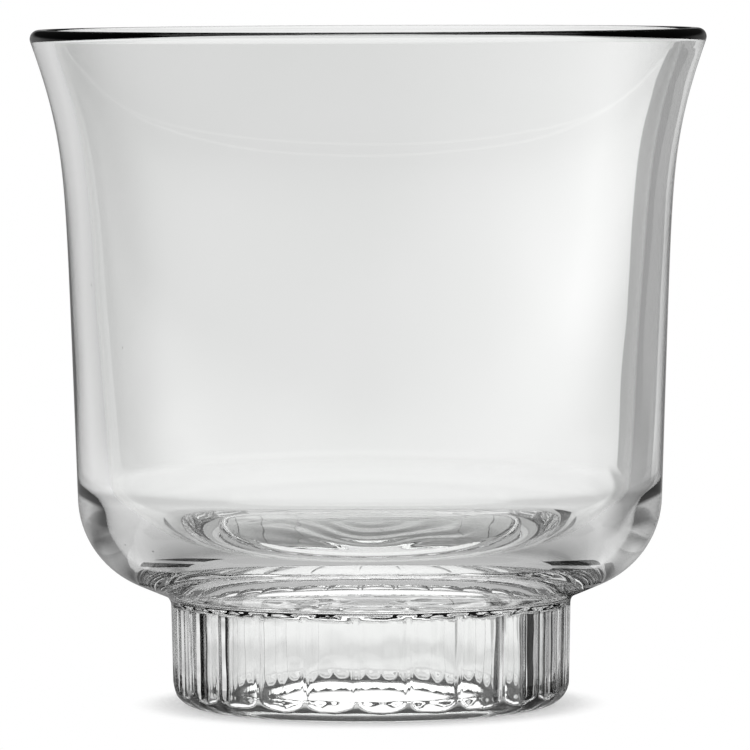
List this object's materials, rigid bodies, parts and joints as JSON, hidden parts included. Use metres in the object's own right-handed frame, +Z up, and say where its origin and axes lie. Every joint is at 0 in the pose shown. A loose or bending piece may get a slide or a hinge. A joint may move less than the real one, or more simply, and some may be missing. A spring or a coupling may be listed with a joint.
{
  "type": "drinking glass",
  "caption": "Clear footed tumbler: a flared round bowl with a heavy floor on a low hollow ring foot pressed with upright flutes, for cold drinks.",
  "frame": {"origin": "centre of the bearing ring under the foot, at table level", "axes": "+Z up along the axis that the glass is turned about, -Y towards the side that the picture shows"},
  "size_m": [0.095, 0.095, 0.095],
  "materials": {
    "clear_glass": "clear, fire-polished"
  },
  "bodies": {
    "root": {"bowl": "clear_glass", "foot": "clear_glass"}
  },
  "joints": []
}
